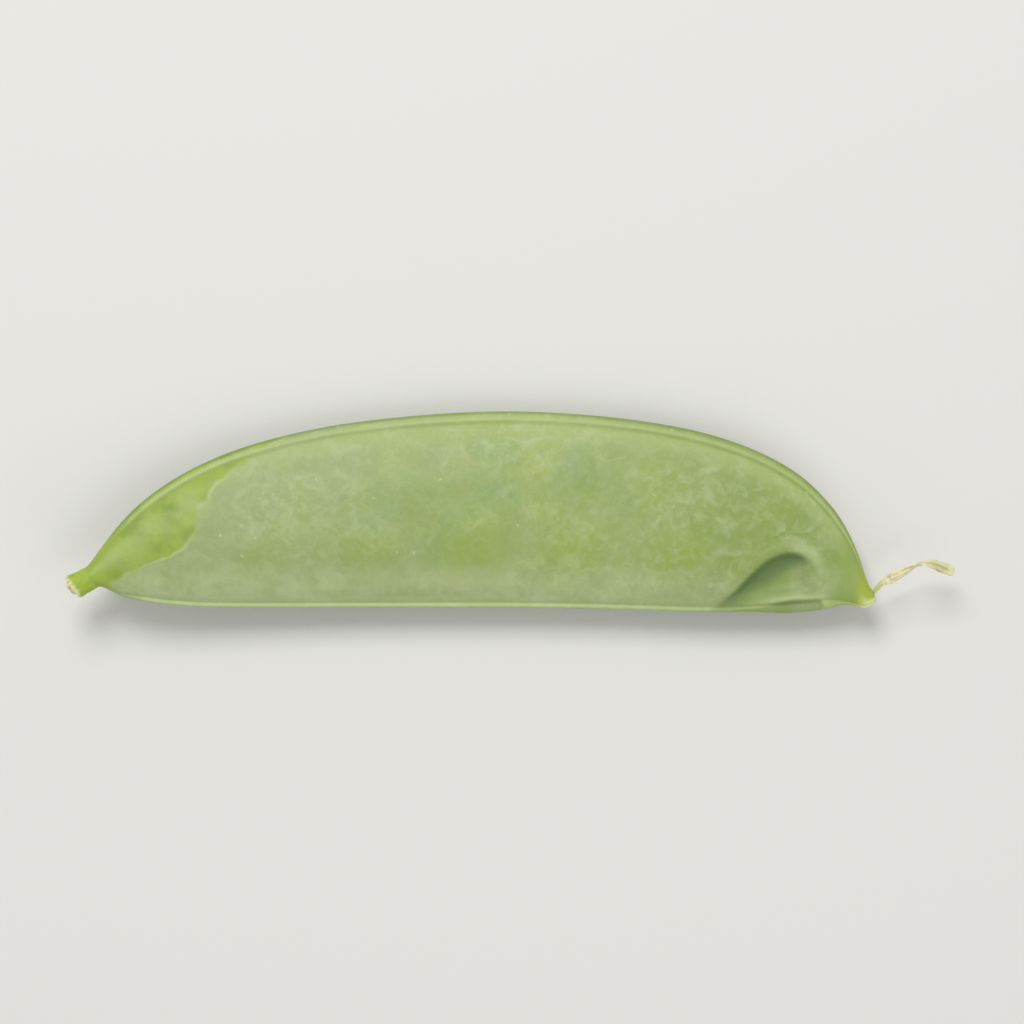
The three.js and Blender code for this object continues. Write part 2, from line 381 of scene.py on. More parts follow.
crease = fair_curve(CREASE, CREASE_STEPS)
nearest = np.full(len(x), np.inf)
inside = np.zeros(len(x))  # distance inside the crease, and less than 0 outside it
for (start_x, start_y), (end_x, end_y) in zip(crease, crease[1:]):
    run = np.array([end_x - start_x, end_y - start_y])
    share = ((x - start_x) * run[0] + (y - start_y) * run[1]) / (run @ run)
    share = np.clip(share, 0, 1)
    distance = np.hypot(x - start_x - share * run[0], y - start_y - share * run[1])
    turning = run[0] * (y - start_y) - run[1] * (x - start_x)
    closer = distance < nearest
    nearest[closer] = distance[closer]
    inside[closer] = (-np.sign(turning) * distance)[closer]
print("crease: x", crease[0, 0], "to", crease[-1, 0], "mm")

# %% [markdown]
# The wall drops away steeply inside the crease, and rises again towards the belly seam and the
# beak. Outside it, the wall stands up in a low roll with fine wrinkles in it. The mesh crosses the
# crease at a slant, and a little smoothing takes out the steps that this leaves.

# %% Buckle the upper wall
DENT_DEPTH = 1.15
DENT_LIP = 0.45  # the wall drops steeply to this far from the crease
LIP_SHARE = 0.55  # and by this much of the depth
DENT_FLOOR = 1.9  # then it slopes on to its deepest line
DENT_RISES = (0.3, 2.8)  # and rises again towards the belly seam, between these distances from it
DENT_FADES = (61.3, 63.9)  # it also runs out towards the beak, between these x
ROLL_HEIGHT = 0.2  # the wall stands up a little along the outside of the crease
ROLL_WIDTH = 0.8
ROLL_STARTS = (53, 57)  # it comes in between these x
WRINKLES = (-0.95, -1.5)  # each fine wrinkle lies this far inside the crease, so outside it
WRINKLE_DEPTH = 0.06
WRINKLE_WIDTH = 0.17
WRINKLES_ALONG = ((57.6, 59.2), (61.8, 63.4))  # they come in, and run out, between these x
SMOOTHED = (0.1, 0.7)  # how far inside the crease it is smoothed most, and how far around that


def line_at(distance, place, half_width):
    """1 on a line at a distance from an edge, and soft to both sides of it."""
    return np.exp(-(((distance - place) / half_width) ** 2))


def within(value, rises, falls):
    """Rises smoothly from 0 to 1 between one pair of values, and falls back between the other."""
    return ease(value, *rises) * (1 - ease(value, *falls))


upper = side > 0
towards_beak = 1 - ease(x, *DENT_FADES)
drop = LIP_SHARE * ease(inside, 0, DENT_LIP) + (1 - LIP_SHARE) * ease(inside, 0, DENT_FLOOR)
dent = drop * ease(from_belly, *DENT_RISES) * towards_beak
roll = line_at(inside, 0, ROLL_WIDTH) * (inside < 0) * towards_beak * ease(x, *ROLL_STARTS)
wrinkle = sum(line_at(inside, place, WRINKLE_WIDTH) for place in WRINKLES) * within(x, *WRINKLES_ALONG)
relief = ROLL_HEIGHT * roll - DENT_DEPTH * dent - WRINKLE_DEPTH * wrinkle
push(pod, "buckle", upper * wall * relief)
weigh(pod, upper * line_at(inside, *SMOOTHED), "SMOOTH", factor=0.5, iterations=12)

# %% [markdown]
# A buckle shows by its tones as much as by its shape, and these tones are painted light and shade.
# Along the crease the lip is first darker, with painted shade, and then, nearer the beak, pale with
# a painted highlight. Below it the hollow gets a deep green painted shade, and around that the wall
# below the crease gets a lighter painted shade, which lies over the chalk of the wax. All of these
# follow from the crease. They are worked out here, and the material will read them.

# %% Painted light and shade along the crease
SHADED_LIP = (-0.45, 0.5)  # how far inside the crease its middle lies, and half its width
LIT_LIP = (-0.6, 0.6)
# The deep painted shade in the hollow under the crease:
HOLLOW_SHADE_X = (54, 59.2, 60.4, 62.8)  # the hollow is this wide at each of these x
HOLLOW_SHADE_WIDTHS = (0.5, 2.5, 1.9, 0.6)
HOLLOW_SHADE_STARTS = (-0.2, 0.3)  # it comes in between these distances below the crease
HOLLOW_SHADE_ENDS = (0.4, 1.4)  # and runs out between these shares of its width
# The lighter painted shade on the wall below the crease:
SHADE_BELOW_STARTS = (0, 0.8)
# Between which x each of them comes in, and between which it runs out:
SHADED_LIP_ALONG = ((54, 57), (60, 61.6))
LIT_LIP_ALONG = ((60.8, 62.3), (63, 64.8))
HOLLOW_SHADE_ALONG = ((53.2, 56.2), (61.5, 63.2))
SHADE_BELOW_ALONG = ((54.6, 57), (60.3, 62.6))

# Painted shade and painted highlight along the lip, then painted shade in the hollow and below the crease.
shaded_lip = upper * wall * line_at(inside, *SHADED_LIP) * within(x, *SHADED_LIP_ALONG)
lit_lip = upper * wall * line_at(inside, *LIT_LIP) * within(x, *LIT_LIP_ALONG)
below_crease = np.interp(x, *crease.T) - y
hollow_shade_share = below_crease / np.interp(x, HOLLOW_SHADE_X, HOLLOW_SHADE_WIDTHS)
hollow_shade = upper * ease(below_crease, *HOLLOW_SHADE_STARTS) * (1 - ease(hollow_shade_share, *HOLLOW_SHADE_ENDS))
hollow_shade *= within(x, *HOLLOW_SHADE_ALONG)
shade_below_crease = upper * ease(below_crease, *SHADE_BELOW_STARTS) * within(x, *SHADE_BELOW_ALONG)
print("hollow:", int((hollow_shade > 0.5).sum()), "points lie well inside it")

# %% [markdown]
# Below the buckle the belly seam has sprung open. Its two lips part in a thin wedge that ends
# abruptly, and the wedge is darkened with painted shade. The lower lip is drawn outwards a little and
# the upper one stands up, and its crest gets a painted highlight. Over nearly its whole length the
# seam's two beads meet in a fine channel, which shows from the side.

# %% Open the belly seam
OPENS = (57.0, 61.4)  # the wedge widens between these x
CLOSES = (63.7, 64.4)
WEDGE_X = (57.0, 61.4, 64.4)  # it lies this far inside the edge at each of these x
WEDGE_INSETS = (0.02, 0.3, 0.08)
WEDGE_DEPTH = 0.29
CRACK_HALF = 0.06  # half its width at its very start
WEDGE_HALF = 0.34  # and this much more where it is widest
LIP_UP = 0.14
LIP_INSET = 0.6  # the upper lip's crest is this far beyond the wedge
LIP_HALF = 0.28
LIP_ALONG = ((56, 60), (63.6, 65))  # the upper lip stands up and lies down between these x
LIP_OUT = 0.46
LIP_EDGE = (0.1, 0.5)  # the lower lip is drawn out up to here, by distance from the belly edge
LIP_RETURNS = (63.2, 66.8)  # and comes back to the outline between these x
CHANNEL = 0.14  # its depth
CHANNEL_EDGE = (0.01, 0.08)  # its side, by distance from the belly edge of a full-sized seam

opened = within(x, OPENS, CLOSES)
from_wedge = from_belly - np.interp(x, WEDGE_X, WEDGE_INSETS)
# The wedge's weights also place its painted shade, and the upper lip's weights its painted highlight.
wedge = np.exp(-((from_wedge / (CRACK_HALF + WEDGE_HALF * opened)) ** 4)) * opened
upper_lip_and_highlight = line_at(from_wedge, LIP_INSET, LIP_HALF) * within(x, *LIP_ALONG)
push(pod, "wedge", upper * (LIP_UP * upper_lip_and_highlight - WEDGE_DEPTH * wedge))
lower_lip = -LIP_OUT * within(x, OPENS, LIP_RETURNS) * (1 - ease(from_belly, *LIP_EDGE))
channel = CHANNEL * (1 - ease(from_belly / seam_scale, *CHANNEL_EDGE)) * flatness
push(pod, "lips", lower_lip + channel, direction="Y")

# %% [markdown]
# A wall this thin is never quite even. A cloud texture pushes it in and out by a tenth of a
# millimetre or so, and the weights keep the push away from the stiff seams. At the beak,
# the skin is drawn together into short ridges that run to the withered style.

# %% Uneven walls and a ridged beak
SWELL_SIZE = 5.0
SWELL_HEIGHT = 0.24
RIDGES = 7
RIDGE_HEIGHT = 0.05
RIDGES_START = (2.2, 0.9)  # they come in between these numbers of ribs from the beak's end


def roughen(piece, weights, size, height, direction="NORMAL", detail=2):
    """Pushes the surface in and out by a cloud texture, as far as its weights allow."""
    clouds = bpy.data.textures.new("clouds", "CLOUDS")
    clouds.noise_scale = size * MM
    clouds.noise_depth = detail
    weigh(piece, weights, "DISPLACE", texture=clouds, texture_coords="LOCAL",
          direction=direction, strength=height * MM, mid_level=0.5)


roughen(pod, wall, SWELL_SIZE, SWELL_HEIGHT, detail=3)
turned = np.pi * around * np.where(upper, 1, -1)
from_beak = last_rib - along_rib
ridge = np.cos(RIDGES * turned) * ease(from_beak, *RIDGES_START)
push(pod, "ridges", RIDGE_HEIGHT * ridge, direction="NORMAL")

# %% [markdown]
# ## How it lies
#
# The pod isn't a flat plate. Its ends rise, they twist a little against each other, and the whole
# of it is rolled towards its back.

# %% Bow, twist and roll
STEM_END_RISE = 1.5
BEAK_RISE = 1.0
TWIST_RISE = 0.8  # the back edge against the belly edge, at each end
ROLL = 0.055  # rise of the belly edge over the back edge, per millimetre of width
REST_X = 34  # where the pod lies lowest
STEM_X = RIBS[NECK_RIB][2]
BEAK_X = RIBS[-1][2]


def rise(x, y):
    """How far the pod's middle plane lies above its lowest line."""
    stem_side = x < REST_X
    out = (x - REST_X) / np.where(stem_side, STEM_X - REST_X, BEAK_X - REST_X)
    across = y / POD_WIDTH - 0.5
    ends = np.where(stem_side, STEM_END_RISE, BEAK_RISE) * out**3
    twist = np.where(stem_side, -1, 1) * TWIST_RISE * out**2 * across
    return ends + twist - ROLL * POD_WIDTH * across


x, y, z = places(pod)
push(pod, "lie", rise(x, y))

# %% [markdown]
# The frame says where the pod belongs. The finished form is centred on its solid's box, and let
# down until a little of it lies below the surface. Those vertices are then scaled flat onto the
# surface, as one would by hand with S, Z, 0.

# %% Set it down in its place
REST_PRESS = 0.25  # how much of the underside is flattened where it rests

cad_low, cad_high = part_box("pod")
in_frame = places(pod)[:, along_rib >= NECK_RIB]  # the solid has no skin over its stalk
low, high = in_frame.min(1), in_frame.max(1)
middle = (cad_low + cad_high) / 2 - Vector((low + high) / 2) * MM
placed = Vector((middle.x, middle.y, -(low[2] + REST_PRESS) * MM))  # where the drawing's origin lies
print("the drawing's origin lies at", [round(side / MM, 2) for side in placed], "mm")


def put(piece):
    """Moves a piece from the drawing's place to the frame's."""
    only(piece)
    bpy.ops.transform.translate(value=placed)
    bpy.ops.object.transform_apply()


def pick(piece, chosen):
    """In edit mode, selects the vertices whose numbers are in chosen."""
    bpy.ops.object.mode_set(mode="OBJECT")
    chosen = set(chosen)
    piece.data.polygons.foreach_set("select", [False] * len(piece.data.polygons))
    piece.data.edges.foreach_set("select", [False] * len(piece.data.edges))
    for vertex in piece.data.vertices:
        vertex.select = vertex.index in chosen
    bpy.ops.object.mode_set(mode="EDIT")


put(pod)
pick(pod, np.flatnonzero(places(pod)[2] < 0))
bpy.ops.transform.resize(value=(1, 1, 0), center_override=(0, 0, 0))
bpy.ops.object.mode_set(mode="OBJECT")
bpy.ops.object.shade_smooth()
print("pod:", (places(pod).max(1) - places(pod).min(1)).round(1), "mm; the frame's is",
      [round(side / MM, 1) for side in cad_high - cad_low])

# %% [markdown]
# ## The stem stub
#
# The stalk has snapped off just past the ring where the five sepals sat. A circle is extruded
# outwards along the stalk, flared at the sepal ring, and drawn in again to the broken core. Every
# sixth point of the ring is pulled out and the points between are pushed in, for the five lobes.

# %% Extrude the stub
STUB = [
    # distance out from the neck, radius, lobe height
    (-0.4, 0.9, 0),
    (0.0, 0.98, 0),
    (0.4, 1.04, 0),
    (0.9, 1.07, 0),
    (1.35, 1.07, 0.02),
    (1.75, 1.1, 0.05),
    (2.05, 1.15, 0.08),
    (2.22, 1.12, 0.08),
    (2.25, 1.0, 0.05),
    (2.17, 0.86, 0.02),
    (2.17, 0.72, 0),
    (2.5, 0.62, 0),
    (2.6, 0.42, 0),
]
LOBES = 5
STUB_ROUND = 30
STUB_SLANT = 0.17  # how much further out the end lies per millimetre towards the back edge

distance, radius, _ = STUB[0]
stub = start_tube("stem_stub_stalk", STUB_ROUND, radius * MM, (-distance * MM, 0, 0))
for before, after in zip(STUB, STUB[1:]):
    step = before[0] - after[0]
    wider = after[1] / before[1]
    extrude_ring((step * MM, 0, 0), (1, wider, wider), (-after[0] * MM, 0, 0))
for ring, (distance, radius, lobe) in enumerate(STUB):
    for sign, offset in ((1, 0), (-1, STUB_ROUND // LOBES // 2)):
        first = ring * STUB_ROUND + offset
        pick(stub, range(first, (ring + 1) * STUB_ROUND, STUB_ROUND // LOBES))
        pull = 1 + sign * lobe / radius
        bpy.ops.transform.resize(value=(1, pull, pull), center_override=(-distance * MM, 0, 0))
end_tube()
modify(stub, "SUBSURF", levels=2, render_levels=2)
print("stub:", len(stub.data.vertices), "points")

# %% [markdown]
# The broken end isn't smooth. Its rim is torn and dried, so a cloud texture pushes the vertices
# near the end in and out, more the further out they are.

# %% Slant and fray the end, and set it on the neck
TEAR_SIZE = 0.45
TEAR_DEPTHS = (("X", 0.5), ("NORMAL", 0.22))
TEAR_STARTS = (0.55, 0.95)  # it comes in between these shares of the stub's length

x, y, z = places(stub)
stub_length = STUB[-1][0]
outwards = -x / stub_length
push(stub, "slant", -STUB_SLANT * y * np.clip(outwards, 0, 1), direction="X")

for direction, depth in TEAR_DEPTHS:
    roughen(stub, ease(outwards, *TEAR_STARTS), TEAR_SIZE, depth, direction)

stub_out = np.clip(outwards, 0, 1)
neck, width, turn = ring_at(RING_RIBS.index(NECK_RIB))
only(stub)
stub.rotation_euler = (0, 0, turn)
stub.location = neck
bpy.ops.object.transform_apply()
x, y, z = places(stub)
push(stub, "lie", rise(x, y))  # it rises on from the pod's end
put(stub)
bpy.ops.object.shade_smooth()

# %% [markdown]
# ## The withered style
#
# The style is what is left of the flower: a flat thread that has dried, curled and twisted. It is
# modelled straight and simple, as an oval ring extruded along X and turned a little at each step.
# A Curve modifier then bends it along its path, which is far easier than placing bent rings.

# %% Extrude a straight, twisting ribbon
STYLE = [
    # x, y, height over the beak's end, width, turn in degrees (its flat side is up at 0 and 180)
    (68.2, 1.3, 0.0, 0.42, 0),
    (68.8, 1.75, 0.05, 0.4, 0),
    (69.25, 2.3, 0.2, 0.52, 5),
    (70.0, 2.68, 0.4, 0.88, 12),
    (71.1, 3.3, 0.68, 0.94, 30),
    (72.5, 4.0, 0.9, 0.8, 92),
    (73.8, 3.95, 0.8, 0.98, 152),
    (74.9, 3.58, 0.55, 1.08, 175),
    (75.5, 3.3, 0.36, 0.74, 180),
]
STYLE_FLATNESS = 0.42  # thickness as a share of width
STYLE_ROUND = 16
STYLE_STEPS = 36
PATH_POINTS = 200
TIP = ((0.12, 0.8), (0.06, 0.6))  # two short steps round it off: how far on, and how much smaller


def travelled(points):
    """How far along a line of points each of them lies."""
    return np.append(0, np.cumsum(np.linalg.norm(np.diff(points, axis=0), axis=1)))


path = fair_curve(STYLE, PATH_POINTS)[:, 0:3]
along_path = travelled(path)
style_length = along_path[-1]
step_length = style_length / STYLE_STEPS


def ribbon_at(step):
    """Width in millimetres and turn in radians of the ribbon at a step."""
    place = np.interp(step * step_length, along_path, np.linspace(0, len(STYLE) - 1, PATH_POINTS))
    row = through(STYLE, place)
    return float(row[3]), math.radians(float(row[4]))


width, turned = ribbon_at(0)
style = start_tube("withered_style", STYLE_ROUND, width / 2 * MM)
bpy.ops.transform.resize(value=(1, 1, STYLE_FLATNESS))
for step in range(1, STYLE_STEPS + 1):
    here = (step * step_length * MM, 0, 0)
    next_width, next_turned = ribbon_at(step)
    wider = next_width / width
    extrude_ring((step_length * MM, 0, 0), (1, wider, wider), here)
    bpy.ops.transform.rotate(value=turned - next_turned, orient_axis="X", center_override=here)
    width, turned = next_width, next_turned
for further, smaller in TIP:
    here = (here[0] + further * MM, 0, 0)
    extrude_ring((further * MM, 0, 0), (1, smaller, smaller), here)
end_tube()
print("style:", round(float(style_length), 1), "mm long")

# %% [markdown]
# Dried tissue shrinks into ridges. Rows of points along the ribbon are drawn in to make gutters,
# and its two edges stand proud between them and carry the browner colour.

# %% Draw in the gutters
GUTTERS = {3: 0.45, 5: 0.7, 11: 0.35, 13: 0.75}  # which rows, and how near the axis they come
x, y, z = places(style)
row = np.arange(len(x)) % STYLE_ROUND
radius = np.hypot(y, z)
gutter = np.zeros(len(x))
for number, share in GUTTERS.items():
    gutter[row == number] = (1 - share) * radius[row == number]
push(style, "gutters", -gutter, direction="NORMAL")
modify(style, "SUBSURF", levels=2, render_levels=2)
print("style:", len(style.data.vertices), "points")

# %% [markdown]
# The guide curve only lends its bend. Once the modifier is applied, the curve is removed.

# %% Bend the ribbon along its path
CRUMPLE_SIZE = 0.8
CRUMPLE_HEIGHT = 0.22

beak_z = float(rise(np.float64(STYLE[0][0]), np.float64(STYLE[0][1])))
guide_data = bpy.data.curves.new("style_guide", "CURVE")
guide_data.dimensions = "3D"
guide_data.twist_mode = "Z_UP"
spline = guide_data.splines.new("POLY")
spline.points.add(len(path) - 1)
for point, (path_x, path_y, path_z) in zip(spline.points, path):
    point.co = (path_x * MM, path_y * MM, (path_z + beak_z) * MM, 1)
guide = bpy.data.objects.new("style_guide", guide_data)
bpy.context.collection.objects.link(guide)

x, y, z = places(style)
style_along = np.clip(x / style_length, 0, 1)
turned = np.array([ribbon_at(place / step_length)[1] for place in x])
style_edge = np.cos(np.arctan2(z, y) - turned) ** 2

roughen(style, np.ones(len(x)), CRUMPLE_SIZE, CRUMPLE_HEIGHT)
modify(style, "CURVE", object=guide, deform_axis="POS_X")
bpy.data.objects.remove(guide)
put(style)
bpy.ops.object.shade_smooth()
print("style spans", (places(style).max(1) - places(style).min(1)).round(1), "mm; the frame's is",
      [round(side / MM, 1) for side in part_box("dried_style")[1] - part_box("dried_style")[0]])

# %% [markdown]
# ## Marks that the materials read
#
# Some colours belong to a place on the pod and not to a pattern. Such a mark is stored on the mesh
# as an attribute, one number for each vertex. Most marks are areas that fade in between two
# distances, which are in millimetres from a seam and in ribs from an end.

# %% Mark areas
def mark(piece, name, values):
    """Stores one number for each vertex."""
    attribute = piece.data.attributes.new(name, "FLOAT", "POINT")
    attribute.data.foreach_set("value", np.asarray(values, np.float32))


back_edge = from_back / seam_scale  # from the edge of a full-sized seam
belly_edge = from_belly / seam_scale
from_neck = along_rib - NECK_RIB
first_peas = 0.45 + 0.55 * ease(from_neck, 5.5, 7.5)  # more wax hides the peas near the stalk
last_band = 1 - 0.25 * ease(from_neck, 6.5, 7.5)  # the pale band is fainter near the beak
between_peas = 1 - pea_glow
off_peas = 1 - 0.7 * pea_glow  # the bloom is worn less over the peas
AREAS = [
    # mark, its strength, then each thing that it follows: where the mark is 0, and where it is full
    # The bloom is partly pale wax and partly painted light on the belly side, which faces away from the key
    # light.
    ("bloom_and_belly_light", between_peas, (from_belly, 10, 3), (from_neck, 0, 2), (from_neck, 10.5, 7.5)),
    ("stem_third", 1, (from_neck, 7, 3.5)),
    ("beak_third", 1, (from_neck, 7, 10.5)),
    ("pea", pea_glow * first_peas),
    ("back_band", flatness, (from_back, 3.4, 1.2), (back_edge, 0.9, 1.3)),
    ("belly_band", flatness * last_band, (from_belly, 4.5, 2.2)),
    ("belly_side", flatness * off_peas, (from_belly, 0.6, 1.4), (from_belly, 6.5, 3.5)),
    ("neck", 1, (from_neck, 1.3, 0.1)),
    ("beak", 1, (from_beak, 3.9, 2.9)),
    ("nub", 1, (from_beak, 2.7, 1.3)),
    ("tip", 1, (from_beak, 2.1, 0.8), (around, 0.5, 0.2)),
]
for name, values, *follows in AREAS:
    for follow in follows:
        values = values * ease(*follow)
    mark(pod, name, values)
print("areas marked:", [area[0] for area in AREAS])

# %% [markdown]
# Each seam has a pale rim, a painted highlight along its bead, and a darker groove beside it, which
# is painted shade. Its very edge, where the two walls fold together and turn away from the light, is
# darker again with painted shade. All three are fainter at the belly, and the buckle's painted light
# and shade join them.

# %% Mark painted light and shade along the seams, and the buckle's
LINES = [
    # mark, then for the back seam and for the belly seam: strength, distance from the edge, half width
    ("groove_shade", (1, 0.95, 0.16), (0.25, 0.6, 0.2)),
    ("rim_highlight", (1, 0.62, 0.2), (0.2, 0.35, 0.15)),
]
# Painted light and shade of the buckle and of the opened seam, stored for the material:
BUCKLE_MARKS = {
    "shaded_lip": shaded_lip, "lit_lip": lit_lip, "shade_below_crease": shade_below_crease, "hollow_shade": hollow_shade,
    "upper_lip_and_highlight": upper * upper_lip_and_highlight, "wedge_shade": upper * wedge,
}
for name, (back_strength, *back_line), (belly_strength, *belly_line) in LINES:
    on_back = back_strength * line_at(back_edge, *back_line)
    on_belly = belly_strength * line_at(belly_edge, *belly_line)
    mark(pod, name, (on_back + on_belly) * flatness)
# Painted shade on the folded edges, where the walls turn away from the light:
mark(pod, "fold_shade", (ease(back_edge, 0.35, 0.05) + 0.5 * ease(belly_edge, 0.15, 0)) * flatness)
for name, values in BUCKLE_MARKS.items():
    mark(pod, name, values)
mark(stub, "out", stub_out)
mark(style, "along", style_along)
mark(style, "edge", style_edge)
print("pod:", len(pod.data.attributes), "attributes")

# %% [markdown]
# The stalk end was held when the pod was picked, so its wax is rubbed off up to a clear margin. The
# margin is a curve from the belly to the back, and the mark says how far past it a point lies.

# %% Mark the margin of the wax
MARGIN = [
    # height y, then x
    (1.0, -2.0), (2.1, 0.4), (3.9, 4.7), (5.1, 7.3), (6.3, 8.5), (9.2, 9.6), (11.2, 10.7), (13.5, 13.7),
    (15.5, 17.0),
]
WAX_HEAPED_AT = 10.5  # the wax is heaped along the margin at this y, and again a pitch away
WAX_HEAP_PITCH = 5.5

margin = fair_curve(MARGIN, 80)
placed_mm = np.array(placed) / MM
x, y, z = places(pod) - placed_mm[:, None]  # back in the drawing's place
mark(pod, "past_margin", x - np.interp(y, *margin.T))
mark(pod, "heaped", 0.5 + 0.5 * np.cos(2 * np.pi * (y - WAX_HEAPED_AT) / WAX_HEAP_PITCH))
print("wax margin: x", margin[0, 1].round(1), "to", margin[-1, 1].round(1), "mm")

# %% [markdown]
# The map is rewritten as real distances along and across the pod, so that veins can run over it
# as they grow.

# %% Measure the map in metres
ladder = np.linspace(0, last_rib, 200)
ladder_middle = (rib_at(ladder)[0] + rib_at(ladder)[1]) / 2
ladder_length = travelled(ladder_middle)
surface = np.column_stack([np.interp(along_rib, ladder, ladder_length), from_belly]) * MM
pod.data.uv_layers["plan"].data.foreach_set("uv", surface[corners].ravel())
pod.data.uv_layers["plan"].name = "surface"
print("midline:", round(float(ladder_length[-1]), 1), "mm")

# %% [markdown]
# ## Making a material
#
# Colours are picked as sRGB hex values and turned to the linear values that light is counted in.
# One small function adds a node, sets it, and wires its sockets. A pattern's scale is how many
# repeats go into a metre, so it is worked out from the size of one repeat in millimetres.

# %% Colour, node and scale
FACTOR, UNDER, OVER, MIXED = 0, 6, 7, 2  # the Mix node's colour sockets


def hex_colour(code):
    """An sRGB hex colour as linear values."""
    channels = [int(code[start:start + 2], 16) / 255 for start in (0, 2, 4)]
    linear = [c / 12.92 if c <= 0.04045 else ((c + 0.055) / 1.055) ** 2.4 for c in channels]
    return (*linear, 1)


def node(tree, kind, feeds=None, **settings):
    """Adds a node, sets it, and feeds its sockets with values or other nodes' outputs."""
    made = tree.nodes.new("ShaderNode" + kind)
    for name, value in settings.items():
        setattr(made, name, value)
    for socket, value in (feeds or {}).items():
        if isinstance(value, bpy.types.NodeSocket):
            tree.links.new(value, made.inputs[socket])
        else:
            made.inputs[socket].default_value = value
    return made


def per_metre(size):
    """The scale of a pattern whose repeat measures size millimetres."""
    return 1 / (size * MM)


def new_material(piece, name):
    """Gives a piece a new, empty material, and returns its node tree."""
    material = bpy.data.materials.new(name)
    material.use_nodes = True
    material.node_tree.nodes.clear()
    piece.data.materials.append(material)
    return material.node_tree


# %% [markdown]
# ## The pod's skin
#
# Fresh pod skin is a thin, pale green tissue under a waxy cuticle. It isn't one green: yellower
# and bluer patches a few millimetres wide drift over it, and a finer mottle of about a millimetre
# breaks them up. The eye reads the soft, uneven green as living tissue, and not as paint.
#
# The skin is painted in layers. Each cell below works out where its layers show, and adds them to
# a list. At the end they are laid over the plain leaf green in that order.

# %% Pod skin: the greens
LEAF = "8a9e53"
DRIFTS = [
    # colour, size of a blot in mm, detail, where in the noise it starts and is full, strength
    ("9aa846", 7.0, 2, 0.44, 0.62, 0.8),  # yellower
    ("7c9a56", 6.0, 3, 0.50, 0.66, 0.8),  # bluer
    ("7f924b", 1.5, 3, 0.50, 0.70, 0.35),  # deeper
]
DRIFT_STEP_X = 0.05  # each drift reads the noise this much further on, in metres
DRIFT_STEP_Y = 0.02

tree = new_material(pod, "waxy_pod_skin")
where = node(tree, "TexCoord").outputs["Object"]
grown = node(tree, "UVMap", uv_map="surface").outputs["UV"]
layers = []  # where each layer shows, and its colour
for number, (colour, size, detail, low, high, strength) in enumerate(DRIFTS):
    moved = node(tree, "Mapping", {
        "Vector": where, "Location": (DRIFT_STEP_X * number, DRIFT_STEP_Y * number, 0),
    })
    blots = node(tree, "TexNoise", {
        "Vector": moved.outputs["Vector"], "Scale": per_metre(size), "Detail": detail, "Roughness": 0.6,
    })
    amount = node(tree, "MapRange", {
        "Value": blots.outputs["Fac"], "From Min": low, "From Max": high, "To Max": strength,
    })
    layers.append((amount.outputs["Result"], colour))
print(len(layers), "layers")

# %% [markdown]
# Veins are the edges of small, slanting cells. A Voronoi texture gives the distance to the nearest
# cell edge, and a noise bends the map first, so that no edge is straight. Real veins are about a
# tenth of a millimetre wide. They lie under the skin, so they are drawn soft and a little wider,
# and they show in some places only.

# %% Pod skin: veins
VEIN_SLANT = math.radians(-40)
CELL_LENGTH = 2.1
CELL_WIDTH = 0.9
VEIN_WANDER = 0.9  # the noise moves a vein by up to half of this, either way
WANDER_SIZE = 1.1
VEINED_PATCH = 6
WAX = "a0b07d"

wander = node(tree, "TexNoise", {"Vector": grown, "Scale": per_metre(WANDER_SIZE), "Detail": 3})
centred = node(tree, "VectorMath", {0: wander.outputs["Color"], 1: (0.5, 0.5, 0.5)}, operation="SUBTRACT")
bent = node(tree, "VectorMath", {
    0: centred.outputs["Vector"], 1: (VEIN_WANDER * MM, VEIN_WANDER * MM, 0), 2: grown,
}, operation="MULTIPLY_ADD")
slanted = node(tree, "Mapping", {"Vector": bent.outputs["Vector"], "Rotation": (0, 0, VEIN_SLANT)})
stretched = node(tree, "Mapping", {
    "Vector": slanted.outputs["Vector"], "Scale": (per_metre(CELL_LENGTH), per_metre(CELL_WIDTH), 1),
})
cells = node(tree, "TexVoronoi", {
    "Vector": stretched.outputs["Vector"], "Scale": 1, "Randomness": 1,
}, feature="DISTANCE_TO_EDGE", voronoi_dimensions="2D")
lines = node(tree, "MapRange", {
    "Value": cells.outputs["Distance"], "From Min": 0, "From Max": 0.3, "To Min": 1, "To Max": 0,
}, interpolation_type="SMOOTHSTEP")
regions = node(tree, "TexNoise", {"Vector": where, "Scale": per_metre(VEINED_PATCH), "Detail": 2})
shown = node(tree, "MapRange", {"Value": regions.outputs["Fac"], "From Min": 0.4, "From Max": 0.62})
veins = node(tree, "Math", {0: lines.outputs["Result"], 1: shown.outputs["Result"]}, operation="MULTIPLY")
amount = node(tree, "MapRange", {"Value": veins.outputs["Value"], "To Max": 0.25})
layers.append((amount.outputs["Result"], WAX))
print(len(layers), "layers")

# %% [markdown]
# Wax lies on the skin in pale clouds, rubbed off here and there.

# %% Pod skin: wax
WAX_CLOUD = 9

clouds = node(tree, "TexNoise", {
    "Vector": where, "Scale": per_metre(WAX_CLOUD), "Detail": 9, "Roughness": 0.7, "Distortion": 0.7,
})
amount = node(tree, "MapRange", {
    "Value": clouds.outputs["Fac"], "From Min": 0.42, "From Max": 0.68, "To Max": 0.6,
})
layers.append((amount.outputs["Result"], WAX))
print(len(layers), "layers")

# %% [markdown]
# Broad marks come next, each as strong as its attribute says: the bloom between the peas, which is
# partly pale wax and partly painted light that lifts the belly side facing away from the key light,
# the glow over them, and the paler bands beside the seams.

# %% Pod skin: bloom, peas and bands
BROAD_MARKS = [
    # attribute, colour, strength
    # partly wax and partly painted light on the belly side:
    ("bloom_and_belly_light", "a0ae76", 0.65),
    ("stem_third", "8f9d69", 0.6),
    ("beak_third", "7f9447", 0.65),
    ("pea", "92a33f", 0.6),
    ("back_band", "a8b773", 0.68),
    ("belly_band", "aebb88", 0.64),
]


